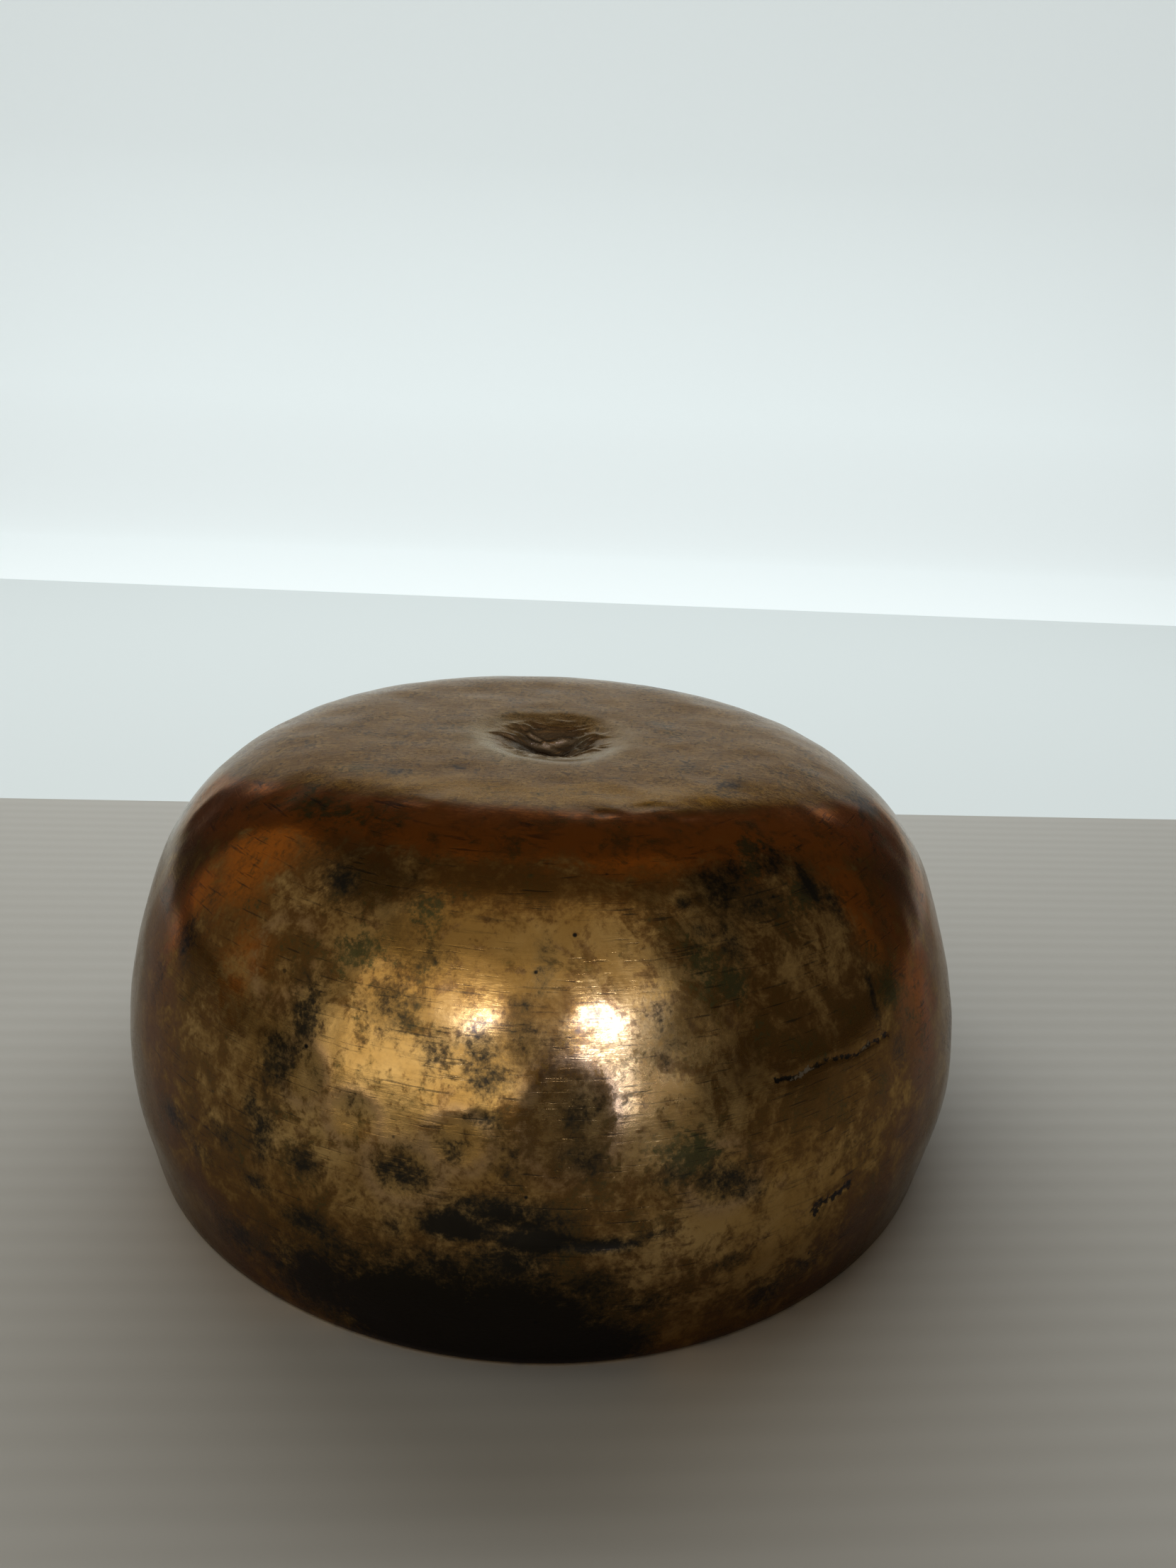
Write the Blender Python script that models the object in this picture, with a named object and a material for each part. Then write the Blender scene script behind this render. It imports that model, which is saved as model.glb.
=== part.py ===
"""A deep hand-hammered brass bowl, turned over so that it stands on its rim.

The bowl is one sheet of metal, raised by hammer: a wall that leans in a little towards the rim,
a broad round shoulder, and a flattened base with a beaten dimple in its middle. It is modelled as
one closed shell with an outer skin, an inner skin and a flat land on the rim.

Units are metres and +Z is up. The bowl stands mouth down on z = 0, with the middle of its
outline on the origin.
"""

import math

import bmesh
import bpy
from mathutils import Vector

# Outline of the outer skin, as heights above the resting plane and distances from the axis
HEIGHT = 0.0831
WIDEST_RADIUS = 0.0910
WIDEST_HEIGHT = 0.0200
RIM_RADIUS = 0.0878
FLAT_RADIUS = 0.0382
SHOULDER_SPREAD = 2.6  # how square the shoulder is towards the wall
SHOULDER_RISE = 2.0  # how square the shoulder is towards the base
LOWER_WALL_CURVE = 1.4  # 1 would be a straight taper, 2 an even curve

# Thickness of the sheet: the beaten rim is a little heavier than the wall
WALL = 0.0025
RIM_WALL = 0.0032
RIM_BAND = 0.0150
RIM_ROUND = 0.0008

# The dimple in the middle of the base
DIMPLE_RADIUS = 0.0185
DIMPLE_DEPTH = 0.0055
DIMPLE_STEEPNESS = 1.2

# What the hammer left out of true
RIM_OVAL = 0.0010  # the mouth is longer along Y than along X
OVAL_FADE = 0.65  # share of the oval that is gone at the base
LEAN = 0.00095  # the rim sits towards +X and the base towards -X
WALL_WAVES = ((3, 0.00030, 0.7), (5, 0.00018, 2.1))  # waves around, height of a wave, phase

# Fineness of the mesh
SEGMENTS = 64
WALL_RINGS = 5
SHOULDER_RINGS = 13
BASE_RINGS = 10
ROUND_POINTS = 3

BRASS_COLOUR = (0.42, 0.27, 0.11, 1.0)
BRASS_ROUGHNESS = 0.38


def clear_scene():
    for item in list(bpy.data.objects):
        bpy.data.objects.remove(item)


def shares(count):
    """Evenly spaced numbers from 0 up to, and not counting, 1."""
    return [step / count for step in range(count)]


def lower_wall():
    """Points from the rim up to the widest ring, as (radius, height)."""
    points = []
    for share in shares(WALL_RINGS):
        inset = (WIDEST_RADIUS - RIM_RADIUS) * (1 - share) ** LOWER_WALL_CURVE
        points.append((WIDEST_RADIUS - inset, share * WIDEST_HEIGHT))
    return points


def shoulder():
    """Points from the widest ring over the shoulder to the flat base: a quarter superellipse."""
    points = []
    for share in shares(SHOULDER_RINGS):
        turn = share * math.pi / 2
        spread = math.cos(turn) ** (2 / SHOULDER_SPREAD)
        rise = math.sin(turn) ** (2 / SHOULDER_RISE)
        radius = FLAT_RADIUS + (WIDEST_RADIUS - FLAT_RADIUS) * spread
        points.append((radius, WIDEST_HEIGHT + (HEIGHT - WIDEST_HEIGHT) * rise))
    return points


def base():
    """Points along the flat base, from its edge in to the last ring before the middle."""
    return [(FLAT_RADIUS * (1 - share), HEIGHT) for share in shares(BASE_RINGS)]


def sheet_thickness(height):
    """Full thickness at the rim, easing to that of the wall at the top of the rim band."""
    share = min(height / RIM_BAND, 1.0)
    return RIM_WALL + (WALL - RIM_WALL) * share


def inner_profile(outer):
    """The outer profile moved inwards by the sheet's thickness, square to the surface."""
    points = []
    for index in range(1, len(outer)):
        before = Vector(outer[index - 1])
        after = Vector(outer[min(index + 1, len(outer) - 1)])
        along = (after - before).normalized()
        inwards = Vector((-along.y, along.x))
        point = Vector(outer[index]) + inwards * sheet_thickness(outer[index][1])
        points.append((point.x, point.y))
    return points


def rounded_edge(radius, side):
    """The small round where a skin meets the rim land, from the skin down to the land."""
    points = []
    for step in range(ROUND_POINTS + 1):
        turn = step / ROUND_POINTS * math.pi / 2
        inset = RIM_ROUND * (1 - math.cos(turn))
        points.append((radius - side * inset, RIM_ROUND * (1 - math.sin(turn))))
    return points


def shell_profile():
    """The whole section, from the middle of the inner skin, round the rim, to the outer middle."""
    outer = lower_wall() + shoulder() + base()
    inner = inner_profile(outer)
    rim = rounded_edge(RIM_RADIUS - RIM_WALL, -1)
    rim += reversed(rounded_edge(RIM_RADIUS, 1))
    return list(reversed(inner)) + rim + outer[1:]


def wall_stray(angle, height, radius):
    """How far a point of the skin lies outside its true circle."""
    rise = height / HEIGHT
    lean = LEAN * (1 - 2 * rise**2) * math.cos(angle)
    oval = -RIM_OVAL * (1 - OVAL_FADE * rise) * math.cos(2 * angle)
    waves = sum(size * math.sin(count * angle + phase) for count, size, phase in WALL_WAVES)
    return (lean + oval + waves) * radius / WIDEST_RADIUS


def dimple_drop(radius):
    """How far the dimple lowers a point of the base."""
    share = min(radius / DIMPLE_RADIUS, 1.0)
    return DIMPLE_DEPTH * (0.5 + 0.5 * math.cos(math.pi * share)) ** DIMPLE_STEEPNESS


def add_ring(mesh, radius, height):
    """One ring of points at a place on the profile, carried out of true as the sheet is."""
    ring = []
    for step in range(SEGMENTS):
        angle = step / SEGMENTS * math.tau
        reach = radius + wall_stray(angle, height, radius)
        drop = dimple_drop(radius)
        point = (reach * math.cos(angle), reach * math.sin(angle), height - drop)
        ring.append(mesh.verts.new(point))
    return ring


def bridge(mesh, first, second):
    for step in range(SEGMENTS):
        after = (step + 1) % SEGMENTS
        mesh.faces.new((first[step], first[after], second[after], second[step]))


def close_middle(mesh, ring, height):
    """A fan of triangles from a ring to the lowest point of the dimple."""
    middle = mesh.verts.new((0.0, 0.0, height - DIMPLE_DEPTH))
    for step in range(SEGMENTS):
        mesh.faces.new((middle, ring[step], ring[(step + 1) % SEGMENTS]))


def centre_over_origin(mesh):
    """Slides the shell so that the middle of its outline is on the origin."""
    for axis in (0, 1):
        places = [vert.co[axis] for vert in mesh.verts]
        middle = (min(places) + max(places)) / 2
        for vert in mesh.verts:
            vert.co[axis] -= middle


def bowl_mesh():
    mesh = bmesh.new()
    rings = [add_ring(mesh, radius, height) for radius, height in shell_profile()]
    for first, second in zip(rings, rings[1:]):
        bridge(mesh, first, second)
    close_middle(mesh, rings[0], HEIGHT - WALL)
    close_middle(mesh, rings[-1], HEIGHT)
    centre_over_origin(mesh)
    bmesh.ops.recalc_face_normals(mesh, faces=mesh.faces)
    data = bpy.data.meshes.new("bowl")
    mesh.to_mesh(data)
    mesh.free()
    return data


def brass():
    material = bpy.data.materials.new("hammered_brass")
    material.use_nodes = True
    shader = material.node_tree.nodes["Principled BSDF"]
    shader.inputs["Base Color"].default_value = BRASS_COLOUR
    shader.inputs["Metallic"].default_value = 1.0
    shader.inputs["Roughness"].default_value = BRASS_ROUGHNESS
    material.diffuse_color = BRASS_COLOUR
    return material


def make_bowl():
    data = bowl_mesh()
    data.materials.append(brass())
    data.shade_smooth()
    data.set_sharp_from_angle(angle=math.radians(35))
    bowl = bpy.data.objects.new("bowl", data)
    bpy.context.scene.collection.objects.link(bowl)


clear_scene()
make_bowl()
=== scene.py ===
"""The looks of a hand-hammered brass bowl that stands mouth down on its rim.

The fine skin is one closed mesh in place of the CAD node `bowl`: the same outline, with the marks of
the hammer, dents, the crumpled dimple and a crack added. Tarnish, stains, rubbed metal, painted sheen
and painted shade are fields on its points, and the material gives their edges a ragged line.

Places on the skin are given as `around`, the angle in degrees from +X, and `up`, millimetres along
the outside from the rim. The side towards -Y (270 degrees) faces the camera.
"""

import math

import bpy
import numpy as np
from mathutils import Matrix, Vector, kdtree, noise


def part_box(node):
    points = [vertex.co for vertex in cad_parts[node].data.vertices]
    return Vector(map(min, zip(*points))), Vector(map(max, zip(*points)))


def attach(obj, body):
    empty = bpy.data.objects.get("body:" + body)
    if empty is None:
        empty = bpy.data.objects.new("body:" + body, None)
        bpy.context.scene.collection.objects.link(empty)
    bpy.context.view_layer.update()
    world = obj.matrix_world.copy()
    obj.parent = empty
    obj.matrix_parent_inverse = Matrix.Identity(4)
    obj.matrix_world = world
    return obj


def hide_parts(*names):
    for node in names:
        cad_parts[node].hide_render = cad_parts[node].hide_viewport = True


MM = 0.001
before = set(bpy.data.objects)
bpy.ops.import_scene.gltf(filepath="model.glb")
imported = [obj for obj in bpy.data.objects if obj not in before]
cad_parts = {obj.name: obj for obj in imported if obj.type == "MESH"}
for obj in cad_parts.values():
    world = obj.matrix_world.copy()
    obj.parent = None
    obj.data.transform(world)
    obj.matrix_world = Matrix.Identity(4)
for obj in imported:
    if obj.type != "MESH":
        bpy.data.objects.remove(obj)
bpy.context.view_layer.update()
box_low, box_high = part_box("bowl")

# -------- outline, in metres, from the frame
HEIGHT = box_high.z - box_low.z
WIDEST_RADIUS = (box_high.x - box_low.x + box_high.y - box_low.y) / 4
WIDEST_HEIGHT = 0.2407 * HEIGHT
RIM_RADIUS = 0.9648 * WIDEST_RADIUS
FLAT_RADIUS = 0.4198 * WIDEST_RADIUS
SHOULDER_SPREAD = 2.6  # how square the shoulder is towards the wall
SHOULDER_RISE = 2.0  # how square the shoulder is towards the base
LOWER_WALL_CURVE = 1.4  # 1 would be a straight taper, 2 an even curve
RIM_OVAL = 0.0110 * WIDEST_RADIUS
OVAL_FADE = 0.65  # share of the oval that is gone at the base
LEAN = 0.0104 * WIDEST_RADIUS
# Waves around the wall: count, height, phase
WALL_WAVES = ((3, 0.0033 * WIDEST_RADIUS, 0.7), (5, 0.0020 * WIDEST_RADIUS, 2.1))
AXIS_SHIFT = Vector((-1.19 * MM, 0.32 * MM, 0.0))  # from the middle of the box to the bowl's axis

WALL = 2.5 * MM
RIM_WALL = 3.2 * MM
RIM_BAND = 15 * MM
RIM_ROUND = 0.8 * MM

DIMPLE_RADIUS = 18.5 * MM
DIMPLE_DEPTH = 5.5 * MM
LIP_DROP = 1.5 * MM  # the part of the depth that is a gentle lip
CRATER_RADIUS = 12.0 * MM
CRATER_FLOOR = 2.0 * MM
CRATER_UNEVEN = 0.045
CRATER_WAVES = ((2, 1.0, 0.6), (3, 0.7, 2.0))  # waves around the crater: count, share, phase
LIP_START = 0.75 * CRATER_RADIUS

# -------- fineness of the mesh
ANGLE_BANDS = ((225, 290, 100), (290, 320, 84), (320, 585, 264))  # from, to, number of segments
SEGMENTS = sum(band[2] for band in ANGLE_BANDS)
RING_STEP = 1.35 * MM
DIMPLE_RING_STEP = 0.4 * MM
DIMPLE_RINGS_START = 19 * MM  # along the outline, from the middle of the base
FINE_RING_STEP = 0.6 * MM
FINE_BANDS = ((22, 27), (47, 54))  # stretches of the wall with small marks, in mm from the rim
OUTER_HOLE = 0.6 * MM  # the rings stop this far from the middle of the base
INNER_HOLE = 1.0 * MM
INNER_START = 0.4 * MM  # the first inner ring, above the round of the rim
INNER_RINGS = 44
RIM_STEPS = 3
WALL_SAMPLES = 80
SHOULDER_SAMPLES = 400
BASE_SAMPLES = 100
SLOPE_STEP = 0.4 * MM  # on each side of a point, for the slope of the outline there
LEAST_RADIUS = 1 * MM  # stands in for the radius close to the axis, where angles say little

# -------- relief all over the skin
OUTER_BLOWS = (3, 8.5 * MM, 0.16 * MM)  # seed, distance between rows, depth
INNER_BLOWS = (9, 11 * MM, 0.22 * MM)
BLOW_JITTER = 0.38  # how far a blow strays, as a share of the distance between rows
BLOW_REACH = (0.62, 0.98)  # smallest and largest, as shares of the distance between rows
BLOW_FORCE = (0.35, 1.0)  # weakest and strongest, as shares of the depth
BLOWS_FELT = 4  # number of nearest blows that shape a point
FEWEST_BLOWS = 3  # in a row
NOISE_SHIFT = (7.13, 3.71, 5.37)  # moves the noise to another place for each seed
NOISE_SMOOTHNESS = 1.0  # how fast the finer octaves of the noise fade
NOISE_FINENESS = 2.0  # how much finer each octave is than the one before
SWELL = 0.10 * MM  # height of the slow unevenness of the sheet
SWELL_NOISE = (55, 1)  # scale, seed
RELIEF_START = 6 * MM  # the relief grows from nothing at the rim to its full height here
BASE_CLEARANCE = 0.13 * MM  # keeps the beaten base under the top of the CAD box
BASE_CLEARANCE_START = 46 * MM  # from the middle of the base
BASE_CLEARANCE_FULL = 36 * MM
DENT_LIP = (0.25, 1.5, 0.5)  # height as a share of the depth, then place and width in dent sizes
BLOW_EDGE = (0.5, 0.22)  # height as a share of the depth, width as a share of the size
BLOW_FLOOR = 0.2  # share of a round blow that is flat

# The folds in the dimple: noise scale, width, height in mm, seed
FOLDS = ((80, 0.13, 0.60, 31), (140, 0.14, 0.26, 33))
FOLD_STRETCH = (1.0, 1.9, 0.0)  # closer together along Y, so that most folds run along X
FOLD_STEP = (0.12, 0.1)  # height in mm, width
FOLD_SWELL = (0.18, 150, 24)  # height in mm, noise scale, seed
FOLDS_FADE = (9 * MM, 15.0 * MM)  # from the middle of the dimple
INNER_FOLDS = 0.6

# -------- marks on the skin
# Broad bulges (+) and hollows (-): around, up, reach in mm, height in mm
BROAD_SHAPES = (
    (191, 51, 16, -0.45),
    (186, 63, 12, 0.25),
    (357, 66, 13, 0.5),
    (349, 49, 12, -0.55),
    (338, 23, 14, 0.4),
    (225, 40, 17, -0.25),
    (262, 30, 14, -0.3),
    (290, 58, 18, -0.2),
    (283, 45, 9, 0.16),
    (310, 30, 16, -0.3),
    (130, 45, 18, -0.4),
    (75, 60, 16, -0.35),
    (40, 35, 18, 0.35),
    (100, 25, 14, -0.3),
    (160, 75, 15, -0.3),
)

# Single dents: around, up, then half length along the wall, half height and depth in mm
DENTS = (
    (276.5, 27.6, 5.5, 1.1, 0.4),
    (268, 30.5, 4.5, 1.4, 0.28),
    (264, 48.2, 1.3, 1.2, 0.22),
    (282.5, 105.8, 2.4, 0.9, 0.26),
    (293, 107, 3.4, 0.9, 0.3),
    (245, 24, 3, 2, 0.14),
    (300, 101, 2.6, 1.2, 0.18),
    (241, 104, 2.8, 1.1, 0.16),
)

# Round blows with a rubbed rim: around, up, then half length, half height and depth in mm
ROUND_BLOWS = (
    (244, 49.5, 4.4, 5.2, 0.15),
    (250.5, 44.5, 4.8, 4.6, 0.15),
    (262, 44, 5.4, 5, 0.14),
    (256.5, 37.5, 6.4, 5.2, 0.16),
    (289.5, 36.5, 6.6, 5.6, 0.14),
    (273, 48, 7.4, 9.5, 0.2),
    (237, 66, 6, 7, 0.1),
    (104, 60, 6, 6, 0.12),
    (136, 42, 6.4, 5.4, 0.12),
    (24, 50, 6, 6.4, 0.12),
    (68, 38, 5.4, 5, 0.1),
)

# Dark stains, and painted shade low on the front: around, up, half width, half height in mm, strength.
# At its half width and half height a patch is at half strength; stains reach further, as STAIN_SPREAD
# says.
STAINS_AND_SHADE = (
    (243, 58, 3, 6, 1),
    (240.3, 50.5, 3.6, 4.6, 1.05),
    (253, 62.5, 4.5, 4.5, 0.7),
    (245.5, 49.5, 2, 2.2, 0.7),
    (250, 47.5, 2, 2, 0.78),
    (250.5, 43, 1.6, 2, 0.62),
    (258.5, 57.5, 2.8, 3, 0.72),
    (263.5, 59, 3.2, 3.4, 0.85),
    (264.5, 54.5, 3, 2.4, 1),
    (264.3, 47.8, 2.4, 1.4, 1.1),
    (261.5, 42.5, 3, 2.6, 0.85),
    (268.5, 60.5, 2.8, 3.6, 0.7),
    (283.5, 61.5, 3.6, 5, 0.78),
    (274.5, 50, 4.2, 4.6, 0.86),
    (274.5, 42.5, 3.8, 3.2, 0.86),
    (257, 42, 2.6, 1.6, 0.72),
    (256.5, 37, 4.8, 3.2, 1.05),
    (239.5, 36.5, 2.2, 4.4, 1),
    (237.5, 40.5, 1.8, 3, 0.95),
    (245, 34.5, 3.2, 2.4, 0.82),
    (233, 33, 4, 2.6, 0.75),
    (224, 28.5, 4.6, 2, 1),
    (229.5, 26, 3.2, 2, 0.8),
    (239, 27, 3.4, 1.8, 0.95),
    (245.5, 23.5, 4.2, 2.2, 1.15),
    (266.5, 32.5, 8.5, 2.6, 1.25),
    (262, 29.6, 5.4, 2, 1.7),
    (270, 28, 5, 1.7, 1.9),
    (277, 27.2, 4.6, 1.1, 1.5),
    (282, 28.6, 4, 0.8, 0.72),
    (256, 27.5, 2.4, 2.2, 0.82),
    (263.5, 24.5, 2.6, 1.4, 0.85),
    (289.5, 35.5, 5, 3.6, 0.95),
    (292.5, 33, 3.6, 2, 0.95),
    (284, 39, 3, 2.4, 0.7),
    (270, 72, 1.8, 5, 0.78),
    (268, 66, 2.4, 1.6, 0.62),
    (256, 72, 3, 2.6, 0.62),
    (289.5, 82, 1.6, 1.6, 1),
    (290.5, 76.5, 1.4, 1.2, 1.05),
    (292, 75, 1, 0.8, 1),
    (295.5, 83, 4.4, 4.6, 0.95),
    (299.5, 86.5, 4.4, 2, 0.9),
    (307.5, 85.5, 4, 3, 1),
    (311.5, 79.5, 1.8, 4.4, 1.1),
    (314, 74, 1.8, 3.6, 0.9),
    (300.5, 79, 5, 3, 0.8),
    (294.5, 74, 2.2, 5, 0.82),
    (240.5, 81.5, 3.6, 3, 0.98),
    (250, 85, 2, 1.4, 0.75),
    (219, 60, 2.6, 4, 1),
    (215, 50, 2.2, 4.5, 0.72),
    (314.5, 57, 1.2, 4.4, 1),
    (318, 44, 1.8, 3, 0.72),
    # From here to (302, 12) the patches darken the low front of the wall: partly dark patina, partly a
    # painted dark reflection of the shaded floor in front
    (247, 11, 10, 6.5, 1.4),
    (258, 9, 11, 9, 2.2),
    (268, 8, 10, 9, 2.4),
    (275, 4.5, 8, 5.5, 2),
    (235, 12, 6, 4, 0.9),
    (262, 20, 12, 4.6, 1.1),
    (267.5, 24, 6, 3.2, 1.2),
    (267, 41.5, 4.2, 4.8, 0.6),
    (275, 18.5, 8, 4, 0.95),
    (250, 19.5, 7, 4, 0.8),
    (280.5, 14.5, 6, 2.4, 0.9),
    (291, 20, 4, 2.4, 0.62),
    (296.5, 8.5, 3.4, 3.6, 0.95),
    (302, 12, 4, 2.4, 0.75),
    (232, 123, 2.4, 1.6, 0.8),
    (222, 112, 3.4, 3, 0.75),
    (325, 118, 3.6, 2, 0.75),
    (322, 106, 4.6, 3, 0.72),
    (20, 70, 6, 5, 1),
    (48, 40, 5, 7, 0.95),
    (66, 66, 4, 5, 1),
    (84, 28, 7, 4, 1),
    (103, 54, 5, 6.5, 0.92),
    (126, 76, 5.5, 4.5, 1),
    (143, 36, 4.5, 6, 1),
    (168, 58, 4, 7, 0.95),
    (182, 24, 6, 4, 1),
    (8, 22, 6, 3.6, 0.95),
    (110, 12, 9, 5, 1.15),
    (344, 84, 5, 5, 0.85),
    (338, 34, 4.4, 5, 0.8),
    (60, 96, 6, 4, 0.8),
)

# Verdigris: around, up, half width in mm, half height in mm, strength
GREENS = (
    (305, 89.5, 2.6, 2.6, 1.1),
    (303.5, 86, 2, 2.4, 0.95),
    (247.5, 71.5, 4.6, 4.6, 0.85),
    (254, 80, 5, 4, 0.65),
    (290, 72, 3, 4, 0.65),
    (293.5, 67, 2.6, 3, 0.8),
    (309, 78, 4, 4, 0.6),
    (318, 55.5, 3.4, 3.6, 1),
    (286, 42, 5, 3.6, 0.75),
    (228, 95, 8, 4, 0.7),
    (214, 106, 5, 3.6, 0.7),
    (96, 80, 6, 6, 1),
    (30, 52, 6, 5, 0.9),
    (156, 88, 5, 5, 0.9),
)

# Orange-brown tarnish: around, up, half width in mm, half height in mm, strength
WARMS = (
    (222, 82, 9, 12, 0.9),
    (216, 66, 5, 12, 0.8),
    (231, 62, 5, 8, 0.55),
    (312, 93, 12, 5, 0.85),
    (319, 76, 6, 14, 0.8),
    (326, 58, 8, 18, 0.6),
    (345, 62, 12, 16, 0.7),
    (60, 80, 20, 9, 0.8),
    (140, 62, 14, 12, 0.8),
    (95, 40, 12, 8, 0.6),
)

# Rubbed bright metal, on the front partly a painted sheen; the rest is umber: around, up, half width in
# mm, half height in mm, strength
RUBBED_AND_SHEEN = (
    # The first four patches lie on the broad sheen of the front: partly rubbed metal, partly painted sheen
    (254.5, 52.5, 20, 15, 1.1),
    (246, 42, 10, 9, 0.9),
    (284, 55, 11, 16, 1.1),
    (268, 73, 32, 6.5, 0.85),
    (250, 31, 9, 4, 0.6),
    (287, 28, 11, 7, 0.75),
    (304, 68, 9, 5, 0.42),
    (303, 31, 15, 6, 0.55),
    (298, 24, 9, 5, 0.8),
    (296, 15, 14, 5, 0.5),
    (233, 60, 6, 7, 0.4),
    (231, 40, 7, 5, 0.18),
    (20, 48, 24, 16, 0.85),
    (62, 34, 20, 12, 0.8),
    (96, 62, 24, 13, 0.95),
    (132, 44, 24, 17, 0.9),
    (172, 66, 16, 10, 0.65),
    (350, 32, 16, 9, 0.5),
)

STAIN_SPREAD = 1.2  # how many times further than their table says the stains reach
PATCH_FADE = 0.7  # leaves half of a patch's strength at its half width

# Level bands of tarnish, and one of painted sheen, that go all round: middle and half height in mm, from
# the edge of the base's brown
ORANGE_BAND = (-11.0, 9.0)
OLIVE_BAND = (-26.0, 6.5)
# The next band is a painted sheen, not tarnish: a bright line along the near edge of the base
EDGE_SHEEN_BAND = (5.0, 6.5)
OLIVE_STRENGTH = 0.9
ORANGE_STRENGTH = (0.75, 0.35)  # at the sides, and what the front adds
EDGE_SHEEN_FACING = (0.2, 0.9)  # how far towards the front the painted sheen starts and is full
BASE_EDGE_FRONT = 111.0  # where the brown of the base starts, in mm from the rim: highest at the front
BASE_EDGE_LOWEST = 80.0
BASE_EDGE_SWING = 31.0
BASE_EDGE_SOFT = 5.0
BASE_EDGE_HEADING = math.radians(268)
BANDS_HEADING = math.radians(272)  # the side on which the bands are strongest
DRIFT_NOISE = (28, 4)  # scale, seed
RAGGED_NOISE = (90, 5)
BAND_DRIFT = 3.0  # how far the noises shift the bands and the edge of the base, in mm
BAND_RAGGED = 2.0
EDGE_DRIFT = 1.5

CRATER_TINT = (7 * MM, 12 * MM)  # from the middle of the dimple: full to here, gone from there
# A painted sheen: a pale ring on the dimple's lip, strongest on the near side
LIP_SHEEN_RING = (14.5, 4.4)  # middle and half width in mm, from the middle of the dimple
LIP_SHEEN_AROUND = (0.75, 0.45, 0.5)  # mean, swing, phase

# Paths of the crack and of the slits, as points of around and up
CRACK = (
    (296.4, 50.2),
    (299.5, 49.5),
    (302.0, 50.2),
    (304.8, 50.2),
    (307.2, 49.5),
    (309.2, 48.7),
    (311.5, 49.2),
    (315.6, 49.0),
)
SLITS = (
    ((301.3, 24.2), (302.6, 25.1), (304.5, 24.7), (307.0, 25.6)),
    ((301.8, 23.0), (302.6, 24.8)),
)
# Where pale crust fills the crack: around, up, half width in mm, half height in mm, strength
CRUSTS = ((300.4, 49.9, 2.8, 1.6, 1.2), (310.8, 49.1, 2.2, 1.4, 1.0))
CRACK_DEPTH = 0.13 * MM
CRACK_HALF_WIDTH = 0.55 * MM
CUT_WIDTH = 0.75  # in mm, of the dark in the crack and the slits
CRACK_THINNING = 1.5  # how many times thinner than that the dark of the crack is
SLIT_THINNING = 0.9
CRUST_WIDTH = 0.9  # in mm


# ======== outline
def outline():
    """The outer outline as dense arrays: distance along it from the rim, radius and height."""
    share = np.linspace(0, 1, WALL_SAMPLES, endpoint=False)
    inset = (WIDEST_RADIUS - RIM_RADIUS) * (1 - share) ** LOWER_WALL_CURVE
    turn = np.linspace(0, math.pi / 2, SHOULDER_SAMPLES, endpoint=False)
    spread = np.cos(turn) ** (2 / SHOULDER_SPREAD)
    rise = np.sin(turn) ** (2 / SHOULDER_RISE)
    radii = (
        WIDEST_RADIUS - inset,
        FLAT_RADIUS + (WIDEST_RADIUS - FLAT_RADIUS) * spread,
        np.linspace(FLAT_RADIUS, 0, BASE_SAMPLES),
    )
    heights = (
        share * WIDEST_HEIGHT,
        WIDEST_HEIGHT + (HEIGHT - WIDEST_HEIGHT) * rise,
        np.full(BASE_SAMPLES, HEIGHT),
    )
    points = np.stack([np.concatenate(radii), np.concatenate(heights)], 1)
    lengths = np.linalg.norm(np.diff(points, axis=0), axis=1)
    return np.concatenate([[0], np.cumsum(lengths)]), points[:, 0], points[:, 1]


ARC, ARC_RADIUS, ARC_HEIGHT = outline()
ARC_END = ARC[-1]


def on_outline(arc):
    """Radius, height and the outward direction (radial, vertical) at distances along the outline."""
    radius = np.interp(arc, ARC, ARC_RADIUS)
    height = np.interp(arc, ARC, ARC_HEIGHT)
    ahead = np.clip(arc + SLOPE_STEP, 0, ARC_END)
    behind = np.clip(arc - SLOPE_STEP, 0, ARC_END)
    run = np.interp(ahead, ARC, ARC_RADIUS) - np.interp(behind, ARC, ARC_RADIUS)
    climb = np.interp(ahead, ARC, ARC_HEIGHT) - np.interp(behind, ARC, ARC_HEIGHT)
    length = np.hypot(run, climb)
    return radius, height, climb / length, -run / length


def wall_stray(angle, height, radius):
    """How far a point lies outside its true circle: the same rule as the CAD part."""
    rise = height / HEIGHT
    lean = LEAN * (1 - 2 * rise**2) * np.cos(angle)
    oval = -RIM_OVAL * (1 - OVAL_FADE * rise) * np.cos(2 * angle)
    waves = sum(size * np.sin(count * angle + phase) for count, size, phase in WALL_WAVES)
    return (lean + oval + waves) * radius / WIDEST_RADIUS


def smooth(low, high, value):
    """0 below low, 1 above high, and an even S between them."""
    share = np.clip((value - low) / (high - low), 0, 1)
    return share * share * (3 - 2 * share)


def dimple_drop(radius):
    """A gentle lip that turns into a steeper crater."""
    lip = LIP_DROP * (1 - smooth(LIP_START, DIMPLE_RADIUS, radius))
    crater = (DIMPLE_DEPTH - LIP_DROP) * (1 - smooth(CRATER_FLOOR, CRATER_RADIUS, radius))
    return lip + crater


# ======== patches, lines and noise on the skin
def offsets(angle, arc, around, up):
    """Millimetres along the wall and up the wall from a place to each point of the skin."""
    turn = (angle - math.radians(around) + math.pi) % math.tau - math.pi
    radius = np.maximum(np.interp(arc, ARC, ARC_RADIUS), LEAST_RADIUS)
    return turn * radius / MM, arc / MM - up


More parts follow.
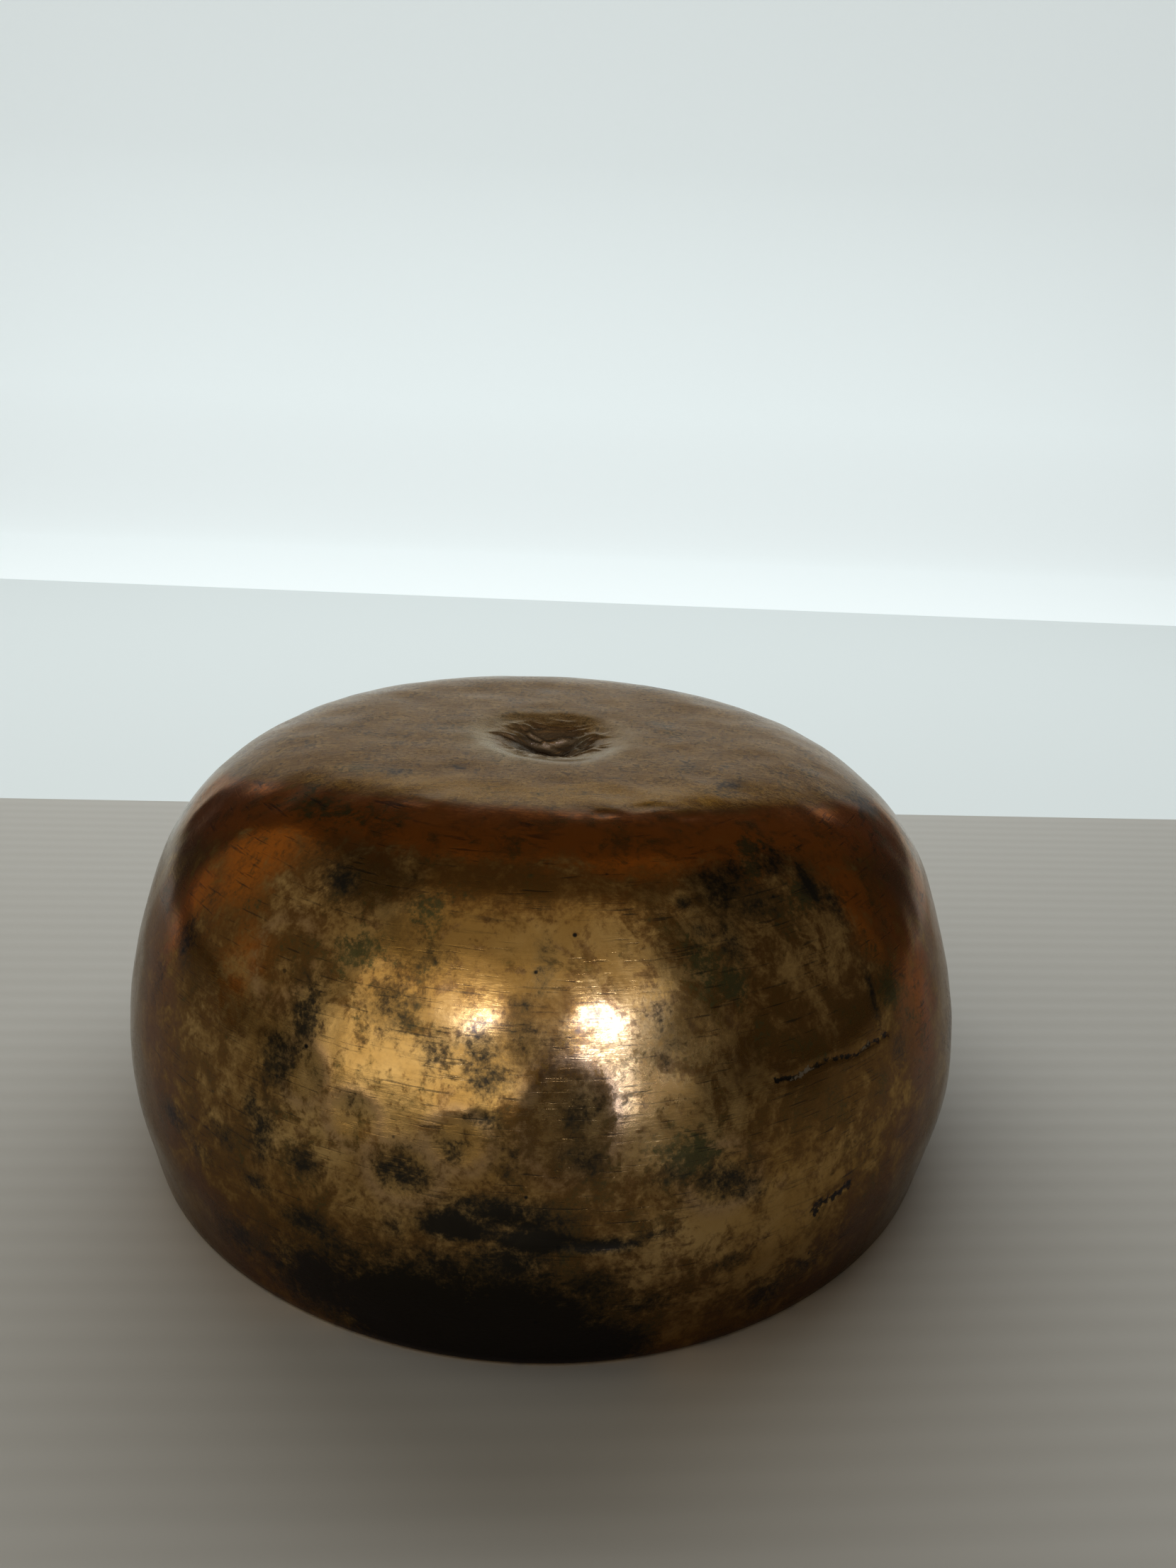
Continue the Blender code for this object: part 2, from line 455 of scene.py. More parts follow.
def patches(angle, arc, table, spread=1.0):
    """The strongest of several soft elliptical patches at each point."""
    total = np.zeros_like(angle)
    for around, up, half_width, half_height, strength in table:
        along, across = offsets(angle, arc, around, up)
        distance = np.hypot(along / half_width, across / half_height) / spread
        total = np.maximum(total, strength * np.exp(-PATCH_FADE * distance**2))
    return total


def bell(value, middle, half_width):
    """1 at the middle, falling away evenly on both sides."""
    return np.exp(-(((value - middle) / half_width) ** 2))


def line_distance(angle, arc, path):
    """Distance in millimetres from each point of the skin to a line drawn on it."""
    nearest = np.full(angle.shape, np.inf)
    for (around_a, up_a), (around_b, up_b) in zip(path, path[1:]):
        along, across = offsets(angle, arc, around_a, up_a)
        run = math.radians(around_b - around_a) * np.interp(arc, ARC, ARC_RADIUS) / MM
        rise = up_b - up_a
        share = np.clip((along * run + across * rise) / (run * run + rise * rise), 0, 1)
        nearest = np.minimum(nearest, np.hypot(along - share * run, across - share * rise))
    return nearest


def noise_at(points, scale, seed, octaves=3):
    """Smooth noise from about -1 to 1 at each point, with features about 1 / scale metres wide."""
    shift = Vector([seed * part for part in NOISE_SHIFT])
    values = [
        noise.fractal(Vector(point) * scale + shift, NOISE_SMOOTHNESS, NOISE_FINENESS, octaves)
        for point in points.reshape(-1, 3)
    ]
    return np.array(values).reshape(points.shape[:-1])


# ======== relief
def nearest_blows(points, centres):
    """Distances to, and numbers of, the blow centres nearest to each point."""
    tree = kdtree.KDTree(len(centres))
    for index, centre in enumerate(centres):
        tree.insert(centre, index)
    tree.balance()
    found = [tree.find_n(point, BLOWS_FELT) for point in points.reshape(-1, 3)]
    distance = np.array([[hit[2] for hit in hits] for hits in found])
    number = np.array([[hit[1] for hit in hits] for hits in found])
    shape = points.shape[:-1] + (BLOWS_FELT,)
    return distance.reshape(shape), number.reshape(shape)


def blow_centres(seed, row_step):
    """Hammer blows in rough rows around the bowl, from the rim to the base."""
    random = np.random.default_rng(seed)
    jitter = BLOW_JITTER * row_step
    centres = []
    for arc in np.arange(row_step / 2, ARC_END - row_step / 2, row_step):
        row_radius = np.interp(arc, ARC, ARC_RADIUS)
        count = max(int(math.tau * row_radius / row_step), FEWEST_BLOWS)
        start = random.uniform(0, math.tau)
        for step in range(count):
            angle = start + math.tau * step / count + random.uniform(-1, 1) * jitter / row_radius
            place = arc + random.uniform(-1, 1) * jitter
            radius = np.interp(place, ARC, ARC_RADIUS)
            height = np.interp(place, ARC, ARC_HEIGHT)
            centres.append((radius * math.cos(angle), radius * math.sin(angle), height))
    return centres


def hammer_marks(points, seed, row_step, depth):
    """Shallow overlapping hollows left by the planishing hammer."""
    centres = blow_centres(seed, row_step)
    random = np.random.default_rng(seed + 1)
    reach = random.uniform(*BLOW_REACH, len(centres)) * row_step
    force = random.uniform(*BLOW_FORCE, len(centres)) * depth
    distance, number = nearest_blows(points, centres)
    share = np.clip(1 - (distance / reach[number]) ** 2, 0, 1)
    return -(force[number] * share * share).sum(-1)


def broad_shapes(angle, arc):
    """Relief of the broad bulges and hollows."""
    total = np.zeros_like(angle)
    for around, up, reach, height in BROAD_SHAPES:
        along, across = offsets(angle, arc, around, up)
        total += height * MM * np.exp(-((np.hypot(along, across) / reach) ** 2))
    return total


def dents(angle, arc):
    """Relief of the single dents, each with a low raised lip."""
    lip_height, lip_place, lip_width = DENT_LIP
    total = np.zeros_like(angle)
    for around, up, half_length, half_height, depth in DENTS:
        along, across = offsets(angle, arc, around, up)
        distance = np.hypot(along / half_length, across / half_height)
        lip = lip_height * bell(distance, lip_place, lip_width)
        total += depth * MM * (lip - np.exp(-(distance**2)))
    return total


def round_blows(angle, arc):
    """Relief of the round blows, and how much each point belongs to a rubbed rim."""
    edge_height, edge_width = BLOW_EDGE
    relief, rim = np.zeros_like(angle), np.zeros_like(angle)
    for around, up, half_length, half_height, depth in ROUND_BLOWS:
        along, across = offsets(angle, arc, around, up)
        distance = np.hypot(along / half_length, across / half_height)
        edge = bell(distance, 1.0, edge_width)
        relief += depth * MM * (edge_height * edge - (1 - smooth(BLOW_FLOOR, 1.0, distance)))
        rim = np.maximum(rim, edge)
    return relief, rim


def crumple(points, radius):
    """Winding thin folds inside the dimple, most of them along X, with small steps between."""
    swell_height, swell_scale, swell_seed = FOLD_SWELL
    step_height, step_width = FOLD_STEP
    total = swell_height * noise_at(points, swell_scale, swell_seed)
    for scale, width, height, seed in FOLDS:
        wave = noise_at(points * np.array(FOLD_STRETCH), scale, seed, octaves=2)
        total += height * bell(wave, 0, width) + step_height * np.tanh(wave / step_width)
    return MM * total * (1 - smooth(*FOLDS_FADE, radius))


def cuts(angle, arc):
    """Relief of the crack and of the slits."""
    total = np.zeros_like(angle)
    for path in (CRACK, *SLITS):
        distance = line_distance(angle, arc, path) * MM / CRACK_HALF_WIDTH
        total -= CRACK_DEPTH * np.exp(-(distance**2))
    return total


# ======== the skin
def ring_places():
    """Distances along the outline at which the outer skin has a ring of points."""
    places, arc = [], RIM_ROUND
    while arc < ARC_END - OUTER_HOLE:
        places.append(arc)
        if arc > ARC_END - DIMPLE_RINGS_START:
            arc += DIMPLE_RING_STEP
        elif any(low < arc / MM < high for low, high in FINE_BANDS):
            arc += FINE_RING_STEP
        else:
            arc += RING_STEP
    return np.array(places)


def flat_skin(angle, arc, depth):
    """Points at a depth below the untouched outer skin, and the outward direction there."""
    radius, height, out, up = on_outline(arc)
    reach = radius + wall_stray(angle, height, radius) - depth * out
    waves = sum(share * np.sin(count * angle + phase) for count, share, phase in CRATER_WAVES)
    level = height - dimple_drop(radius * (1 + CRATER_UNEVEN * waves)) - depth * up
    points = np.stack([reach * np.cos(angle), reach * np.sin(angle), level], -1)
    outward = np.stack([out * np.cos(angle), out * np.sin(angle), up], -1)
    return points, outward, radius


def outer_skin(angle, arc):
    points, outward, radius = flat_skin(angle, arc, 0.0)
    relief = broad_shapes(angle, arc) + dents(angle, arc) + round_blows(angle, arc)[0]
    relief += hammer_marks(points, *OUTER_BLOWS)
    relief += SWELL * noise_at(points, *SWELL_NOISE)
    relief += crumple(points, radius) + cuts(angle, arc)
    relief *= smooth(RIM_ROUND, RELIEF_START, arc)
    start, full = ARC_END - BASE_CLEARANCE_START, ARC_END - BASE_CLEARANCE_FULL
    relief -= BASE_CLEARANCE * smooth(start, full, arc)
    return points + outward * relief[..., None]


def sheet_thickness(height):
    """Full thickness at the rim, easing to that of the wall at the top of the rim band."""
    share = np.clip(height / RIM_BAND, 0, 1)
    return RIM_WALL + (WALL - RIM_WALL) * share


def inner_skin(angle, arc):
    thickness = sheet_thickness(np.interp(arc, ARC, ARC_HEIGHT))
    points, outward, radius = flat_skin(angle, arc, thickness)
    relief = broad_shapes(angle, arc) + hammer_marks(points, *INNER_BLOWS)
    relief += INNER_FOLDS * crumple(points, radius)
    relief *= smooth(RIM_ROUND, RELIEF_START, arc)
    return points + outward * relief[..., None]


def rounded_edge(radius, side):
    """Radius and height of the steps down the small round between a skin and the rim land."""
    turns = [step / RIM_STEPS * math.pi / 2 for step in range(1, RIM_STEPS + 1)]
    return [
        (radius - side * RIM_ROUND * (1 - math.cos(turn)), RIM_ROUND * (1 - math.sin(turn)))
        for turn in turns
    ]


def rim_rings(angle):
    """The rounded edge of the rim: outer round, flat land, inner round, from outside to inside."""
    outer_round = rounded_edge(RIM_RADIUS, 1)
    inner_round = rounded_edge(RIM_RADIUS - RIM_WALL, -1)
    rings = []
    for radius, height in outer_round + inner_round[::-1]:
        reach = radius + wall_stray(angle, height, radius)
        level = np.full_like(angle, height)
        rings.append(np.stack([reach * np.cos(angle), reach * np.sin(angle), level], -1))
    return np.array(rings)


def skin_grid():
    """All rings of the shell, from the middle of the outside, round the rim, to the inner middle."""
    bands = [np.linspace(low, high, count, endpoint=False) for low, high, count in ANGLE_BANDS]
    angle = np.radians(np.concatenate(bands))
    places = ring_places()[::-1]
    outer = outer_skin(*np.broadcast_arrays(angle[None], places[:, None]))
    inner_places = np.linspace(RIM_ROUND + INNER_START, ARC_END - INNER_HOLE, INNER_RINGS)
    inner = inner_skin(*np.broadcast_arrays(angle[None], inner_places[:, None]))
    return angle, places, np.concatenate([outer, rim_rings(angle), inner])


def shell_faces(rings):
    """Quads between neighbouring rings and a fan of triangles over each middle, all facing out."""
    step = np.arange(SEGMENTS)
    after = (step + 1) % SEGMENTS
    faces = []
    for first in range(0, (rings - 1) * SEGMENTS, SEGMENTS):
        second = first + SEGMENTS
        quads = np.stack([first + step, second + step, second + after, first + after], 1)
        faces += quads.tolist()
    last = (rings - 1) * SEGMENTS
    outer_middle = np.full(SEGMENTS, rings * SEGMENTS)
    inner_middle = outer_middle + 1
    faces += np.stack([outer_middle, step, after], 1).tolist()
    faces += np.stack([inner_middle, last + after, last + step], 1).tolist()
    return faces


# ======== painted fields, from 0 to about 1
def base_edge(angle):
    """Where the brown of the base gives way to the tarnish of the shoulder."""
    sink = BASE_EDGE_SWING * (1 - np.cos(angle - BASE_EDGE_HEADING))
    return np.maximum(BASE_EDGE_FRONT - sink, BASE_EDGE_LOWEST)


def tarnish_fields(turn, arc, points):
    """The brown of the base, a painted sheen along its near edge, and the bands and patches of tarnish
    below it.
    """
    drift = noise_at(points, *DRIFT_NOISE)
    facing = np.cos(turn - BANDS_HEADING)
    from_edge = arc / MM - base_edge(turn)
    ragged = from_edge + BAND_DRIFT * drift + BAND_RAGGED * noise_at(points, *RAGGED_NOISE)
    side_strength, front_strength = ORANGE_STRENGTH
    orange = (side_strength + front_strength * facing) * bell(ragged, *ORANGE_BAND)
    olive = OLIVE_STRENGTH * bell(ragged, *OLIVE_BAND)
    return {
        "warm": np.maximum(patches(turn, arc, WARMS), orange),
        # the umber is thin on the rubbed patches, which on the front are partly a painted sheen
        "umber": np.maximum(1 - patches(turn, arc, RUBBED_AND_SHEEN), olive),
        "dull": smooth(-BASE_EDGE_SOFT, 0, from_edge + EDGE_DRIFT * drift),
        # painted sheen along the near edge of the base, towards the front
        "edge_sheen": bell(ragged, *EDGE_SHEEN_BAND) * smooth(*EDGE_SHEEN_FACING, facing),
    }


def mark_fields(turn, arc):
    """Stains and painted shade, verdigris, blow rims, the dimple's tint, its painted lip sheen, the crack,
    the slits.
    """
    radius = np.interp(arc, ARC, ARC_RADIUS) * np.ones_like(turn)
    crack = line_distance(turn, arc, CRACK)
    slit = np.minimum(*[line_distance(turn, arc, path) for path in SLITS])
    cut = np.minimum(CRACK_THINNING * crack, SLIT_THINNING * slit)
    mean, swing, phase = LIP_SHEEN_AROUND
    return {
        # stains, with painted shade low on the front
        "stain_and_shade": patches(turn, arc, STAINS_AND_SHADE, STAIN_SPREAD),
        "rim": round_blows(turn, arc)[1],
        "green": patches(turn, arc, GREENS),
        "crater": 1 - smooth(*CRATER_TINT, radius),
        # painted sheen: the pale of the dimple's near lip
        "lip": bell(radius / MM, *LIP_SHEEN_RING) * (mean - swing * np.sin(turn + phase)),
        "cut": bell(cut, 0, CUT_WIDTH),
        "crust": bell(crack, 0, CRUST_WIDTH) * patches(turn, arc, CRUSTS),
    }


def paint(mesh, fields):
    """Stores the fields on the outer skin's points; they are 0 on the rim and the inner skin."""
    for name, values in fields.items():
        painted = np.zeros(len(mesh.vertices), np.float32)
        painted[: values.size] = values.reshape(-1)
        painted[-2] = painted[0]  # the outer middle
        layer = mesh.attributes.new(name, "FLOAT", "POINT")
        layer.data.foreach_set("value", painted)


def make_bowl_mesh():
    angle, places, grid = skin_grid()
    points = grid.reshape(-1, 3) + np.array(AXIS_SHIFT)
    middles = [points[:SEGMENTS].mean(0), points[-SEGMENTS:].mean(0)]
    mesh = bpy.data.meshes.new("bowl_skin")
    mesh.from_pydata(np.concatenate([points, middles]).tolist(), [], shell_faces(len(grid)))
    turn, arc = np.broadcast_arrays(angle[None], places[:, None])
    paint(mesh, tarnish_fields(turn, arc, grid[: len(places)]))
    paint(mesh, mark_fields(turn, arc))
    mesh.shade_smooth()
    mesh.update()
    return mesh


# ======== materials
class Nodes:
    """Short ways to add and join shader nodes."""

    def __init__(self, tree):
        self.tree = tree

    def add(self, kind, **settings):
        node = self.tree.nodes.new(kind)
        for name, value in settings.items():
            setattr(node, name, value)
        return node

    def link(self, source, target):
        self.tree.links.new(source, target)

    def put(self, socket, value):
        """Links a socket or sets a plain value."""
        if isinstance(value, bpy.types.NodeSocket):
            self.link(value, socket)
        else:
            socket.default_value = value

    def math(self, operation, a, b):
        node = self.add("ShaderNodeMath", operation=operation)
        self.put(node.inputs[0], a)
        self.put(node.inputs[1], b)
        return node.outputs[0]

    def ramp(self, value, low, high, to_low=0.0, to_high=1.0):
        node = self.add("ShaderNodeMapRange", interpolation_type="SMOOTHSTEP")
        for socket, number in zip(node.inputs, (value, low, high, to_low, to_high)):
            self.put(socket, number)
        return node.outputs[0]

    def mix(self, factor, a, b):
        node = self.add("ShaderNodeMix", data_type="RGBA")
        self.put(node.inputs["Factor"], factor)
        self.put(node.inputs[6], a)
        self.put(node.inputs[7], b)
        return node.outputs[2]

    def field(self, name):
        return self.add("ShaderNodeAttribute", attribute_name=name).outputs["Fac"]

    def place(self, scale=(1, 1, 1), turn=(0, 0, 0)):
        """Position on the piece, in metres, stretched and turned."""
        source = self.add("ShaderNodeTexCoord").outputs["Object"]
        node = self.add("ShaderNodeMapping")
        self.link(source, node.inputs["Vector"])
        node.inputs["Scale"].default_value = scale
        node.inputs["Rotation"].default_value = turn
        return node.outputs[0]

    def noise(self, vector, scale, detail=4.0, roughness=0.55, distortion=0.0):
        node = self.add("ShaderNodeTexNoise")
        self.link(vector, node.inputs["Vector"])
        node.inputs["Scale"].default_value = scale
        node.inputs["Detail"].default_value = detail
        node.inputs["Roughness"].default_value = roughness
        node.inputs["Distortion"].default_value = distortion
        return node.outputs["Fac"]

    def bump(self, height, distance, normal=None):
        node = self.add("ShaderNodeBump")
        node.inputs["Strength"].default_value = 1.0
        node.inputs["Distance"].default_value = distance
        self.link(height, node.inputs["Height"])
        if normal is not None:
            self.link(normal, node.inputs["Normal"])
        return node.outputs[0]


def set_inputs(node, values):
    """Plain values for a node's sockets, by name."""
    for name, value in values.items():
        node.inputs[name].default_value = value


def new_material(name, kind=Nodes):
    material = bpy.data.materials.new(name)
    material.use_nodes = True
    return material, kind(material.node_tree), material.node_tree.nodes["Principled BSDF"]


# Colours of the metal, its tarnish and its stains, and of the sheen and shade painted on it
GOLD = (0.54, 0.365, 0.150, 1)
TAN = (0.37, 0.220, 0.062, 1)
PINK_TAN = (0.42, 0.275, 0.140, 1)
ORANGE_BROWN = (0.52, 0.170, 0.008, 1)
UMBER = (0.160, 0.074, 0.009, 1)
OLIVE = (0.115, 0.074, 0.014, 1)
TAUPE = (0.31, 0.165, 0.068, 1)
TAUPE_PALE = (0.52, 0.310, 0.140, 1)
TAUPE_DARK = (0.13, 0.068, 0.026, 1)
# Painted sheen along the near edge of the base
EDGE_SHEEN = (0.60, 0.330, 0.085, 1)
# Painted sheen: the pale of the dimple's near lip
LIP_SHEEN = (0.62, 0.50, 0.36, 1)
# The next two colours also paint the shade low on the front
STAIN_AND_SHADE_BROWN = (0.068, 0.047, 0.016, 1)
NEAR_BLACK = (0.014, 0.011, 0.006, 1)
VERDIGRIS = (0.088, 0.088, 0.030, 1)
CRUST = (0.36, 0.30, 0.20, 1)
PIT = (0.008, 0.006, 0.003, 1)
CRATER = (0.24, 0.180, 0.125, 1)
EDGE_TINT = (0.46, 0.36, 0.24, 1)

# The metal's noises: scale, detail, roughness, distortion, then the turn in radians and the stretch of
# the space they are read in. The stretched ones make streaks and hair-thin scratches.
NOISES = {
    "broad": (34, 6, 0.6, 0.3, (0, 0, 0), (1, 1, 1)),
    "cloud": (105, 9, 0.66, 0.7, (0, 0, 0), (1, 1, 1)),
    "mottle": (240, 8, 0.68, 0.5, (0.4, 0.2, 1.1), (1, 1, 1)),
    "speckle": (1000, 5, 0.72, 0, (1, 0.5, 0.3), (1, 1, 1)),
    "ripple": (230, 3, 0.5, 0, (0, 0, 0), (1, 1, 1)),
    "streak": (170, 4, 0.6, 0, (0, 0, 0), (1, 1, 9)),
    "level": (95, 3, 0.55, 0, (0.03, -0.05, 0), (1, 1, 24)),
    "slant": (110, 3, 0.55, 0, (0.25, 0.3, 0.5), (1, 1, 18)),
    "base": (130, 3, 0.55, 0, (0, 0, 0.35), (1, 16, 1)),
}

# Amounts read from one noise: the noise, where it starts and is full, the amounts there
AMOUNTS = {
    "gold": ("broad", 0.36, 0.62, 0, 1),
    "pink": ("mottle", 0.52, 0.66, 0, 0.55),
    "clouds": ("cloud", 0.42, 0.68, 0, 1),
    "flecks": ("mottle", 0.44, 0.6, 0, 1),
    "pale": ("mottle", 0.4, 0.66, 0, 1),
    "lip": ("mottle", 0.3, 0.6, 0.5, 1),
    "level_hairs": ("level", 0.61, 0.68, 0, 1),
    "slant_hairs": ("slant", 0.64, 0.71, 0, 1),
    "base_hairs": ("base", 0.61, 0.68, 0, 1),
    "pale_hairs": ("base", 0.4, 0.33, 0, 0.55),
    "hair_wear": ("cloud", 0.38, 0.58, 0.25, 1),
    "roughness": ("speckle", 0.3, 0.7, 0.16, 0.27),
}

# Layers with a ragged edge: how far each noise swings it, where the layer starts and is full, and how
# much it covers there
LAYERS = {
    "umber": ({"cloud": 2.4, "mottle": 2, "speckle": 1.2}, 0.02, 1.08, 0.92),
    "warmth": ({"cloud": 1.6, "mottle": 1.2}, 0.1, 0.8, 0.94),
    "clouds": ({"speckle": 1.2, "mottle": 2.4}, 0.15, 1.3, 0.7),
    "flecks": ({"speckle": 2.6, "cloud": 1.2}, 0.35, 1.25, 0.45),
    "shade": ({"speckle": 3, "mottle": 1.4}, 0.44, 0.9, 0.85),
    "edge_sheen": ({"cloud": 1.6, "mottle": 1.6}, 0.2, 1, 0.55),
    "green": ({"cloud": 2.6, "speckle": 2.2}, 0.25, 0.9, 0.85),
    "halo": ({"cloud": 0.8, "mottle": 1.5, "speckle": 1.2}, 0.15, 1, 0.78),
    "dark_heart": ({"cloud": 0.6, "mottle": 1.7, "speckle": 1.6}, 0.62, 1.2, 0.92),
    "crust": ({"speckle": 4, "mottle": 2}, 0.72, 1.1, 0.75),
    "cut": ({"speckle": 2.5, "mottle": 2}, 0.4, 0.8, 0.95),
}
NOISE_MEAN = 0.5
CRUST_NEAR = (0.05, 0.35)  # keeps the crusts and the cuts to where their own fields are
CUT_NEAR = (0.05, 0.30)
CRUST_OVER_CUT = 0.8
RIM_RUBBED = 0.8
HAIR_DARKNESS = 0.60

PIT_SCALE = 210
PIT_RARITY = (0.72, 0.80)
PIT_SIZE = (0.05, 0.11)

# What each layer adds to the roughness
ROUGHENING = {"halo": 0.16, "clouds": 0.10, "dull": 0.03, "warmth": -0.04, "crust": 0.4}
COAT = {"Coat Weight": 0.62, "Coat Roughness": 0.20, "Coat IOR": 1.45}

# Heights of the bumps
RIPPLE_BUMP = 0.07 * MM
STREAK_BUMP = 0.025 * MM
HAIR_BUMP = 0.015 * MM
CUT_BUMP = 0.02 * MM
LEATHER_BUMP = 0.14 * MM
LEATHER_ON_WALL = 0.06  # the base has all of it


class Patina(Nodes):
    """Nodes of the metal, with the noises and layers that its colour, gloss and relief share."""

    def __init__(self, tree):
        super().__init__(tree)
        self.noises = {}
        for name, (scale, detail, roughness, distortion, turn, stretch) in NOISES.items():
            place = self.place(stretch, turn)
            self.noises[name] = self.noise(place, scale, detail, roughness, distortion)
        self.layers = {"dull": self.field("dull")}

    def amount(self, name):
        noise_name, start, full, at_start, at_full = AMOUNTS[name]
        return self.ramp(self.noises[noise_name], start, full, at_start, at_full)

    def layer(self, name, source):
        """A soft field or amount cut off along a ragged line, as LAYERS says."""
        swings, start, full, most = LAYERS[name]
        total = source
        for noise_name, weight in swings.items():
            centred = self.math("SUBTRACT", self.noises[noise_name], NOISE_MEAN)
            total = self.math("ADD", total, self.math("MULTIPLY", centred, weight))
        self.layers[name] = self.ramp(total, start, full, 0.0, most)
        return self.layers[name]

    def rest(self, value):
        """1 less the value."""
        return self.math("SUBTRACT", 1.0, value)


def wall_colour(nodes):
    """Gold, tan and rubbed metal, partly a painted sheen on the front, under umber, orange-brown and olive
    tarnish.
    """
    rubbed_rim = nodes.math("MULTIPLY", nodes.field("rim"), RIM_RUBBED)
    colour = nodes.mix(nodes.amount("gold"), TAN, GOLD)
    colour = nodes.mix(nodes.amount("pink"), colour, PINK_TAN)
    colour = nodes.mix(rubbed_rim, colour, PINK_TAN)
    colour = nodes.mix(nodes.layer("umber", nodes.field("umber")), colour, UMBER)
    colour = nodes.mix(nodes.layer("warmth", nodes.field("warm")), colour, ORANGE_BROWN)
    colour = nodes.mix(nodes.layer("clouds", nodes.amount("clouds")), colour, OLIVE)
    return nodes.mix(nodes.layer("flecks", nodes.amount("flecks")), colour, UMBER)


def base_colour(nodes):
    """Dull brown, with a painted sheen along its near edge, a dark dimple and a painted sheen on the near
    lip.
    """
    # lip: the painted sheen on the dimple's near lip
    lip = nodes.math("MULTIPLY", nodes.field("lip"), nodes.amount("lip"))
    colour = nodes.mix(nodes.amount("pale"), TAUPE, TAUPE_PALE)
    colour = nodes.mix(nodes.layer("shade", nodes.noises["cloud"]), colour, TAUPE_DARK)
    # a painted sheen along the near edge of the base
    colour = nodes.mix(nodes.layer("edge_sheen", nodes.field("edge_sheen")), colour, EDGE_SHEEN)
    colour = nodes.mix(nodes.field("crater"), colour, CRATER)
    return nodes.mix(lip, colour, LIP_SHEEN)


def with_stains_and_shade(nodes, colour):
    """Verdigris, then the brown halo and the black heart of each stain, and of the painted shade low on
    the front.
    """
    stain_and_shade = nodes.field("stain_and_shade")
    colour = nodes.mix(nodes.layer("green", nodes.field("green")), colour, VERDIGRIS)
    colour = nodes.mix(nodes.layer("halo", stain_and_shade), colour, STAIN_AND_SHADE_BROWN)
    return nodes.mix(nodes.layer("dark_heart", stain_and_shade), colour, NEAR_BLACK)


def with_hairs(nodes, colour):
    """Fine dark scratches all over, and pale ones on the base."""
    dull = nodes.layers["dull"]
    wall_hairs = nodes.math("MAXIMUM", nodes.amount("level_hairs"), nodes.amount("slant_hairs"))
    wall_hairs = nodes.math("MULTIPLY", wall_hairs, nodes.rest(dull))
    base_hairs = nodes.math("MULTIPLY", dull, nodes.amount("base_hairs"))
    hairs = nodes.math("MAXIMUM", wall_hairs, base_hairs)
    hairs = nodes.math("MULTIPLY", hairs, nodes.amount("hair_wear"))
    nodes.layers["hairs"] = hairs
    colour = nodes.mix(nodes.math("MULTIPLY", hairs, HAIR_DARKNESS), colour, NEAR_BLACK)
    pale_hairs = nodes.math("MULTIPLY", dull, nodes.amount("pale_hairs"))
    return nodes.mix(pale_hairs, colour, TAUPE_PALE)


def with_pits(nodes, colour):
    """Scattered pinprick pits, in the few cells whose own shade is high enough."""
    cells = nodes.add("ShaderNodeTexVoronoi", feature="F1")
    nodes.link(nodes.place(), cells.inputs["Vector"])
    cells.inputs["Scale"].default_value = PIT_SCALE
    rare = nodes.ramp(cells.outputs["Color"], *PIT_RARITY)
    spot = nodes.ramp(cells.outputs["Distance"], *PIT_SIZE, 1.0, 0.0)
    return nodes.mix(nodes.math("MULTIPLY", rare, spot), colour, PIT)


def with_crack(nodes, colour):
    """The dark of the crack and the slits, and the pale crusts on the crack."""
    crust_field, cut_field = nodes.field("crust"), nodes.field("cut")
    crust = nodes.layer("crust", crust_field)
    crust = nodes.math("MULTIPLY", crust, nodes.ramp(crust_field, *CRUST_NEAR))
    cut = nodes.layer("cut", cut_field)
    cut = nodes.math("MULTIPLY", cut, nodes.ramp(cut_field, *CUT_NEAR))
    cut = nodes.math("MULTIPLY", cut, nodes.rest(nodes.math("MULTIPLY", crust, CRUST_OVER_CUT)))
    nodes.layers["crust"], nodes.layers["cut"] = crust, cut
    colour = nodes.mix(crust, colour, CRUST)
    return nodes.mix(cut, colour, PIT)


def metal_roughness(nodes):
    rough = nodes.amount("roughness")
    for name, amount in ROUGHENING.items():
        rough = nodes.math("ADD", rough, nodes.math("MULTIPLY", nodes.layers[name], amount))
    return rough


def metal_normal(nodes):
    """Ripples, level streaks, scratches, cuts, and the leathery grain of the base."""
    layers = nodes.layers
    normal = nodes.bump(nodes.noises["ripple"], RIPPLE_BUMP)
    normal = nodes.bump(nodes.noises["streak"], STREAK_BUMP, normal)
    normal = nodes.bump(nodes.rest(layers["hairs"]), HAIR_BUMP, normal)
    normal = nodes.bump(nodes.rest(layers["cut"]), CUT_BUMP, normal)
    grain = nodes.math("ADD", nodes.noises["speckle"], nodes.noises["mottle"])
    leather = nodes.math("MULTIPLY", nodes.math("ADD", layers["dull"], LEATHER_ON_WALL), grain)
    return nodes.bump(leather, LEATHER_BUMP, normal)


def brass_material():
    material, nodes, shader = new_material("hammered_brass_patina", Patina)
    colour = nodes.mix(nodes.layers["dull"], wall_colour(nodes), base_colour(nodes))
    for add_marks in (with_stains_and_shade, with_hairs, with_pits, with_crack):
        colour = add_marks(nodes, colour)
    nodes.link(colour, shader.inputs["Base Color"])
    nodes.link(metal_roughness(nodes), shader.inputs["Roughness"])
    nodes.link(metal_normal(nodes), shader.inputs["Normal"])
    set_inputs(shader, {"Metallic": 1.0, "Specular Tint": EDGE_TINT, **COAT})
    return material


# ======== stage
BOARD_HALF = 0.9
BOARD_THICKNESS = 4 * MM
BOARD_BACK = 172 * MM
BOARD_TURN = math.radians(2.6)
